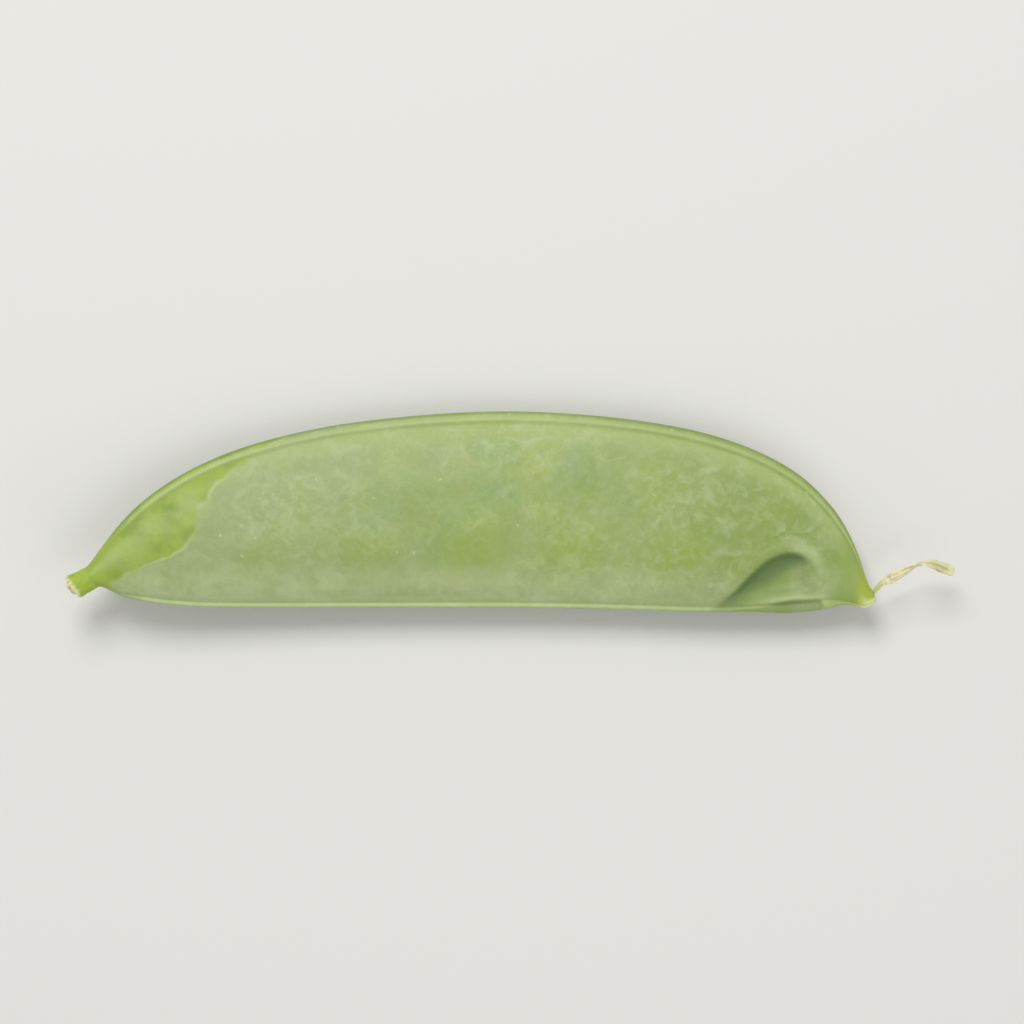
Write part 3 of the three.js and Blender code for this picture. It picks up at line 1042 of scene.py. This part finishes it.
def add_marks(marks):
    """Adds a layer for each mark of a table."""
    for name, colour, strength in marks:
        stored = node(tree, "Attribute", attribute_name=name)
        amount = node(tree, "MapRange", {"Value": stored.outputs["Fac"], "To Max": strength})
        layers.append((amount.outputs["Result"], colour))


add_marks(BROAD_MARKS)
print(len(layers), "layers")

# %% [markdown]
# The pale bloom beside the belly seam, partly wax and partly painted light, isn't even: it is worn
# thinner in patches about two millimetres wide, where the green comes through.

# %% Pod skin: worn patches
WORN = "889a5c"
WORN_PATCH = 2.3

patches = node(tree, "TexNoise", {"Vector": where, "Scale": per_metre(WORN_PATCH), "Detail": 3})
belly_side = node(tree, "Attribute", attribute_name="belly_side")
amount = node(tree, "MapRange", {
    "Value": patches.outputs["Fac"], "From Min": 0.46, "From Max": 0.85, "To Max": belly_side.outputs["Fac"],
})
layers.append((amount.outputs["Result"], WORN))
print(len(layers), "layers")

# %% [markdown]
# Handling rubs the wax to chalk: soft, curled blots a millimetre or two wide, a finer dust, and
# short strokes in three directions. They lie in patches, where the pod was touched. A noise gives
# the blots. Each direction of strokes is a noise stretched by its Mapping node, of which only the
# peaks are kept. A Mapping node of the Texture type stretches the pattern and then turns it.

# %% Pod skin: chalk and strokes
PALE_WAX = "bac69a"
CHALK = [
    # size of a blot in mm, distortion, where in the noise it starts and is full, strength
    (1.6, 1.2, 0.48, 0.72, 0.32),
    (0.7, 0.8, 0.48, 0.74, 0.25),
]
STROKE_WIDTH = 0.65
STROKE_STRETCH = 2.4
STROKE_TURNS = (20, 75, 130)
TOUCHED_PATCH = 8

regions = node(tree, "TexNoise", {"Vector": where, "Scale": per_metre(TOUCHED_PATCH), "Detail": 2})
handled = node(tree, "MapRange", {
    "Value": regions.outputs["Fac"], "From Min": 0.4, "From Max": 0.64, "To Min": 0.35,
})
chalky = []
for size, distortion, low, high, strength in CHALK:
    blots = node(tree, "TexNoise", {
        "Vector": where, "Scale": per_metre(size), "Detail": 2, "Distortion": distortion,
    })
    chalky.append(node(tree, "MapRange", {
        "Value": blots.outputs["Fac"], "From Min": low, "From Max": high, "To Max": strength,
    }))
for turned in STROKE_TURNS:
    drawn = node(tree, "Mapping", {
        "Vector": where, "Location": (turned * MM, 0, 0), "Rotation": (0, 0, math.radians(turned)),
        "Scale": (STROKE_STRETCH, 1, 1),
    }, vector_type="TEXTURE")
    peaks = node(tree, "TexNoise", {
        "Vector": drawn.outputs["Vector"], "Scale": per_metre(STROKE_WIDTH), "Detail": 1, "Distortion": 0.5,
    })
    chalky.append(node(tree, "MapRange", {
        "Value": peaks.outputs["Fac"], "From Min": 0.64, "From Max": 0.88, "To Max": 0.32,
    }))
for layer in chalky:
    amount = node(tree, "Math", {
        0: layer.outputs["Result"], 1: handled.outputs["Result"],
    }, operation="MULTIPLY")
    layers.append((amount.outputs["Value"], PALE_WAX))
print(len(layers), "layers")

# %% [markdown]
# Specks are small blots scattered through space, of which the skin cuts a few: pale grains of wax,
# and fewer dark pinpricks. The noise that bends their places also makes them uneven.

# %% Pod skin: specks
SPECKS = [
    # colour, spacing and radius in mm, strength
    (PALE_WAX, 2.2, 0.08, 0.6),
    ("6b7a40", 5.0, 0.08, 0.5),
]
JITTER_SIZE = 0.3
JITTER = 0.4  # how far the noise may move a speck

jitter = node(tree, "TexNoise", {"Vector": where, "Scale": per_metre(JITTER_SIZE), "Detail": 1})
shaken = node(tree, "VectorMath", {
    0: jitter.outputs["Color"], 1: (JITTER * MM, JITTER * MM, JITTER * MM), 2: where,
}, operation="MULTIPLY_ADD")
for colour, spacing, radius, strength in SPECKS:
    grains = node(tree, "TexVoronoi", {"Vector": shaken.outputs["Vector"], "Scale": per_metre(spacing)})
    amount = node(tree, "MapRange", {
        "Value": grains.outputs["Distance"], "From Min": radius / spacing, "From Max": 2 * radius / spacing,
        "To Min": strength, "To Max": 0,
    })
    layers.append((amount.outputs["Result"], colour))
print(len(layers), "layers")

# %% [markdown]
# The stalk end has lost its wax, and shows a clearer, yellower green. An attribute says how far a
# point lies past the margin of the wax, and a noise moves that margin in and out. The noise has two
# more uses: the thin wax left here and there on the bare end, and the pale line that is heaped
# along the margin. A second noise dapples the bare green, which no wax evens out.

# %% Pod skin: the bare end
BARE_END = "94a93a"
DAPPLED = "758e31"
HEAPED_WAX = "bccb8c"
MARGIN_WANDER = 2.0  # the noise moves the margin by up to half of this, either way
MARGIN_SOFT = 0.45  # how far the wax thins out to each side of it
HEAP_HALF = 0.38  # half the width of the heaped line
HEAP_STRENGTH = 0.48
SHIFT_SIZE = 2.2
DAPPLE_SIZE = 2.4

shifts = node(tree, "TexNoise", {"Vector": where, "Scale": per_metre(SHIFT_SIZE), "Detail": 4})
past_margin = node(tree, "Attribute", attribute_name="past_margin")
moved = node(tree, "Math", {
    0: shifts.outputs["Fac"], 1: MARGIN_WANDER, 2: past_margin.outputs["Fac"],
}, operation="MULTIPLY_ADD")
past = node(tree, "Math", {0: moved.outputs["Value"], 1: MARGIN_WANDER / 2}, operation="SUBTRACT")
left_on = node(tree, "MapRange", {
    "Value": shifts.outputs["Fac"], "From Min": 0.4, "From Max": 0.65, "To Min": 0.95, "To Max": 0.62,
})
bare = node(tree, "MapRange", {
    "Value": past.outputs["Value"], "From Min": -MARGIN_SOFT, "From Max": MARGIN_SOFT,
    "To Min": left_on.outputs["Result"], "To Max": 0,
})
dapples = node(tree, "TexNoise", {"Vector": where, "Scale": per_metre(DAPPLE_SIZE), "Detail": 4})
dappled = node(tree, "MapRange", {
    "Value": dapples.outputs["Fac"], "From Min": 0.42, "From Max": 0.7, "To Max": bare.outputs["Result"],
})
distance = node(tree, "Math", {0: past.outputs["Value"]}, operation="ABSOLUTE")
heaped = node(tree, "Attribute", attribute_name="heaped")
strongest = node(tree, "Math", {0: heaped.outputs["Fac"], 1: HEAP_STRENGTH}, operation="MULTIPLY")
heap = node(tree, "MapRange", {
    "Value": distance.outputs["Value"], "From Min": 0, "From Max": HEAP_HALF,
    "To Min": strongest.outputs["Value"], "To Max": 0,
})
for amount, colour in ((bare, BARE_END), (dappled, DAPPLED), (heap, HEAPED_WAX)):
    layers.append((amount.outputs["Result"], colour))
print(len(layers), "layers")

# %% [markdown]
# The last marks lie over the chalk, which wears off the neck and the beak: their own greens, then the
# painted shade and painted highlights along the seams, the buckle and the opened seam, and the pale tip.

# %% Pod skin: beak, and painted light and shade on the seams and the buckle
BARE_MARKS = [
    # attribute, colour, strength
    ("neck", "95ac3b", 0.85),
    ("beak", "859d46", 0.7),
    ("nub", "a5ae3a", 0.88),
    # painted shade below the crease:
    ("shade_below_crease", "80954a", 0.88),
    # painted shade in the seam grooves and on the folded edges, and a painted highlight on the rims:
    ("groove_shade", "8ba159", 0.4),
    ("fold_shade", "7a8e45", 0.6),
    ("rim_highlight", "b0be79", 0.62),
    # painted shade and painted highlight along the lip, then deep painted shade in the hollow:
    ("shaded_lip", "869b50", 0.7),
    ("lit_lip", "b2c28b", 0.6),
    ("hollow_shade", "5a7440", 0.75),
    # painted highlight on the opened seam's upper lip, and painted shade in its wedge:
    ("upper_lip_and_highlight", "adbd82", 0.7),
    ("wedge_shade", "6c8046", 0.5),
    ("tip", "e4ebae", 0.9),
]
add_marks(BARE_MARKS)
print(len(layers), "layers")

# %% [markdown]
# Now every layer is laid over the ones before it, from the leaf green up. A Mix node lays one colour
# over another as far as its factor says, so a row of them works like thin coats of paint.

# %% Pod skin: lay the layers
ground = hex_colour(LEAF)
for amount, colour in layers:
    ground = node(tree, "Mix", {
        FACTOR: amount, UNDER: ground, OVER: hex_colour(colour),
    }, data_type="RGBA").outputs[MIXED]
print("pod skin:", len(layers), "layers lie over the leaf green")

# %% [markdown]
# The relief is tiny: veins two hundredths of a millimetre proud, and the cells of the skin a
# tenth of a millimetre wide, drawn at three tenths so that they catch the light. Wax makes the
# shine soft and broad, and rougher where the dust is thick.

# %% Pod skin: relief and shine
SKIN_IOR = 1.45
CELL_GRAIN = 0.3
PROUD = 0.02  # how far veins, cells and fibres stand out

grain = node(tree, "TexNoise", {"Vector": where, "Scale": per_metre(CELL_GRAIN), "Detail": 2})
grain_bump = node(tree, "Bump", {
    "Height": grain.outputs["Fac"], "Distance": PROUD * MM, "Strength": 0.6,
})
vein_bump = node(tree, "Bump", {
    "Height": veins.outputs["Value"], "Normal": grain_bump.outputs["Normal"],
    "Distance": PROUD * MM, "Strength": 0.35,
})
shine = node(tree, "MapRange", {
    "Value": clouds.outputs["Fac"], "From Min": 0.35, "From Max": 0.7, "To Min": 0.4, "To Max": 0.58,
})
surface_shader = node(tree, "BsdfPrincipled", {
    "Base Color": ground, "Roughness": shine.outputs["Result"],
    "Normal": vein_bump.outputs["Normal"], "IOR": SKIN_IOR,
    "Subsurface Weight": 0.12, "Subsurface Radius": (0.6, 1.0, 0.25), "Subsurface Scale": 0.8 * MM,
})
node(tree, "OutputMaterial", {"Surface": surface_shader.outputs["BSDF"]})
print("pod skin:", len(tree.nodes), "nodes")

# %% [markdown]
# ## The stalk
#
# The stalk is the same living tissue as the pod, but stringy: fibres run along it. Where it broke
# off it has dried to a pale, cream rim with brown in its tears.

# %% Stalk
STALK = "9fb53d"
STALK_SHADE = "87a034"
DRY_RIM = "e0ddb2"
TORN_BROWN = "b39f74"
FIBRE_WIDTH = 0.35
FIBRE_STRETCH = 7
TEAR_BLOT = 0.5
RAGGEDNESS = 0.3  # how far the tears shift the dry rim, as a share of the stub's length

tree = new_material(stub, "snapped_green_stalk")
where = node(tree, "TexCoord").outputs["Object"]
along_stalk = node(tree, "Mapping", {
    "Vector": where, "Rotation": (0, 0, turn), "Scale": (FIBRE_STRETCH, 1, 1),
}, vector_type="TEXTURE")
fibres = node(tree, "TexNoise", {
    "Vector": along_stalk.outputs["Vector"], "Scale": per_metre(FIBRE_WIDTH), "Detail": 3,
})
fibre_tone = node(tree, "MapRange", {
    "Value": fibres.outputs["Fac"], "From Min": 0.4, "From Max": 0.65, "To Max": 0.6,
})
green = node(tree, "Mix", {
    FACTOR: fibre_tone.outputs["Result"], UNDER: hex_colour(STALK), OVER: hex_colour(STALK_SHADE),
}, data_type="RGBA")
tears = node(tree, "TexNoise", {"Vector": where, "Scale": per_metre(TEAR_BLOT), "Detail": 4})
brown = node(tree, "MapRange", {"Value": tears.outputs["Fac"], "From Min": 0.52, "From Max": 0.7})
dry = node(tree, "Mix", {
    FACTOR: brown.outputs["Result"], UNDER: hex_colour(DRY_RIM), OVER: hex_colour(TORN_BROWN),
}, data_type="RGBA")
out = node(tree, "Attribute", attribute_name="out")
ragged = node(tree, "Math", {
    0: tears.outputs["Fac"], 1: RAGGEDNESS, 2: out.outputs["Fac"],
}, operation="MULTIPLY_ADD")
dried = node(tree, "MapRange", {
    "Value": ragged.outputs["Value"], "From Min": 0.82, "From Max": 1.0,
}, interpolation_type="SMOOTHSTEP")
tissue = node(tree, "Mix", {
    FACTOR: dried.outputs["Result"], UNDER: green.outputs[MIXED], OVER: dry.outputs[MIXED],
}, data_type="RGBA")
fibre_bump = node(tree, "Bump", {"Height": fibres.outputs["Fac"], "Distance": PROUD * MM})
stalk_shader = node(tree, "BsdfPrincipled", {
    "Base Color": tissue.outputs[MIXED], "Roughness": 0.55, "IOR": SKIN_IOR,
    "Normal": fibre_bump.outputs["Normal"],
    "Subsurface Weight": 0.1, "Subsurface Radius": (0.6, 1.0, 0.25), "Subsurface Scale": 0.6 * MM,
})
node(tree, "OutputMaterial", {"Surface": stalk_shader.outputs["BSDF"]})
print("stalk:", len(tree.nodes), "nodes")

# %% [markdown]
# ## The dried style
#
# A withered style is like thin, cream paper: matt and streaked, with a pink brown along its edges. It
# is still green where it leaves the pod, and a little at its broad end.

# %% Dried style
CREAM = "e6e1b6"
STRAW = "cfc698"
EDGE_PINK = "b99a78"
STREAK_SIZE = 0.7
WRINKLE_HEIGHT = 0.08
ALONG_STYLE = [
    # colour, where along the style it starts and is full, its strength there, how far edges are spared
    ("a0a66c", (0.62, 0.76), (0, 0.85), 0.75),  # the broad end is a little green
    ("e0e2b0", (0.9, 0.97), (0, 0.8), 0),  # its tip is pale
    ("aab568", (0.08, 0.22), (0.85, 0), 0),  # and the root is green
]

tree = new_material(style, "withered_style_tissue")
where = node(tree, "TexCoord").outputs["Object"]
streaked = node(tree, "TexNoise", {
    "Vector": where, "Scale": per_metre(STREAK_SIZE), "Detail": 5, "Roughness": 0.65,
})
streaks = node(tree, "MapRange", {"Value": streaked.outputs["Fac"], "From Min": 0.42, "From Max": 0.66})
edge_mark = node(tree, "Attribute", attribute_name="edge")
patchy = node(tree, "Math", {0: edge_mark.outputs["Fac"], 1: streaked.outputs["Fac"]}, operation="MULTIPLY")
pink_edges = node(tree, "MapRange", {
    "Value": patchy.outputs["Value"], "From Min": 0.46, "From Max": 0.62, "To Max": 0.55,
})
layers = [(streaks.outputs["Result"], STRAW), (pink_edges.outputs["Result"], EDGE_PINK)]
along_mark = node(tree, "Attribute", attribute_name="along")
for colour, (start, full), (weak, strong), spared in ALONG_STYLE:
    reach = node(tree, "MapRange", {
        "Value": along_mark.outputs["Fac"], "From Min": start, "From Max": full,
        "To Min": weak, "To Max": strong,
    })
    inner = node(tree, "MapRange", {"Value": edge_mark.outputs["Fac"], "To Min": 1, "To Max": 1 - spared})
    amount = node(tree, "Math", {
        0: reach.outputs["Result"], 1: inner.outputs["Result"],
    }, operation="MULTIPLY")
    layers.append((amount.outputs["Value"], colour))
ground = hex_colour(CREAM)
for amount, colour in layers:
    ground = node(tree, "Mix", {
        FACTOR: amount, UNDER: ground, OVER: hex_colour(colour),
    }, data_type="RGBA").outputs[MIXED]
wrinkles = node(tree, "Bump", {"Height": streaked.outputs["Fac"], "Distance": WRINKLE_HEIGHT * MM})
paper_shader = node(tree, "BsdfPrincipled", {
    "Base Color": ground, "Roughness": 0.75, "Normal": wrinkles.outputs["Normal"],
    "Subsurface Weight": 0.15, "Subsurface Radius": (1.0, 0.7, 0.4), "Subsurface Scale": 0.5 * MM,
})
node(tree, "OutputMaterial", {"Surface": paper_shader.outputs["BSDF"]})
print("style:", len(tree.nodes), "nodes")

# %% [markdown]
# ## The stage
#
# A pale sheet lies under the pod. A wide, soft light hangs beyond the back seam, so that the peas
# and the buckle throw gentle shade towards the viewer, and a weaker one fills in from the front.

# %% Floor and lights
FLOOR_SIDE = 8.0  # wide enough to fill the view from low down too
FLOOR_GREY = "dddcd8"
LIGHTS = [
    # name, place and breadth in metres, power in watts
    ("key_light", (-0.11, 0.33, 0.45), 0.26, 2.0),
    ("fill_light", (0.25, -0.35, 0.4), 0.5, 1.0),
]
ROOM_LIGHT = 0.45

bpy.ops.object.select_all(action="DESELECT")
bpy.ops.mesh.primitive_plane_add(size=FLOOR_SIDE)
floor = bpy.context.object
floor.name = "floor"
tree = new_material(floor, "matt_paper_sweep")
floor_shader = node(tree, "BsdfPrincipled", {"Base Color": hex_colour(FLOOR_GREY), "Roughness": 0.9})
node(tree, "OutputMaterial", {"Surface": floor_shader.outputs["BSDF"]})

for name, place, breadth, power in LIGHTS:
    bpy.ops.object.light_add(type="AREA", location=place)
    light = bpy.context.object
    light.name = name
    light.rotation_euler = (-Vector(place)).to_track_quat("-Z", "Y").to_euler()  # it faces the pod
    light.data.size = breadth
    light.data.energy = power
    print(name, "hangs", round(Vector(place).length, 2), "m away")

world = bpy.data.worlds.new("soft_room")
world.use_nodes = True
background = world.node_tree.nodes["Background"]
background.inputs["Color"].default_value = (1, 1, 1, 1)
background.inputs["Strength"].default_value = ROOM_LIGHT
bpy.context.scene.world = world
bpy.context.scene.view_settings.view_transform = "Standard"

# %% [markdown]
# ## The camera
#
# The pod is seen from straight above, through a long lens, so that its outline is nearly free of
# perspective. The height is worked out from how much of the picture the pod should fill.

# %% Camera
LENS = 120
SENSOR = 36
FILL = 0.86  # share of the picture's width that the object fills

object_width = cad_bounds[1].x - cad_bounds[0].x
height = object_width / FILL * LENS / SENSOR
middle = (cad_bounds[0] + cad_bounds[1]) / 2
bpy.ops.object.camera_add(location=(middle.x, middle.y, height), rotation=(0, 0, 0))
camera = bpy.context.object
camera.data.lens = LENS
camera.data.sensor_width = SENSOR
bpy.context.scene.camera = camera
print("camera height:", round(height, 3), "m")

# %% [markdown]
# ## On the frame
#
# Each piece rides on the one body of the frame, and the plain solid that it replaces is hidden.

# %% Ride and replace
for piece, node_name, slot_name in (
    (pod, "pod", "pod_skin"),
    (stub, "stem_stub", "stem"),
    (style, "dried_style", "dry_style"),
):
    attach(piece, "root")
    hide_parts(node_name)
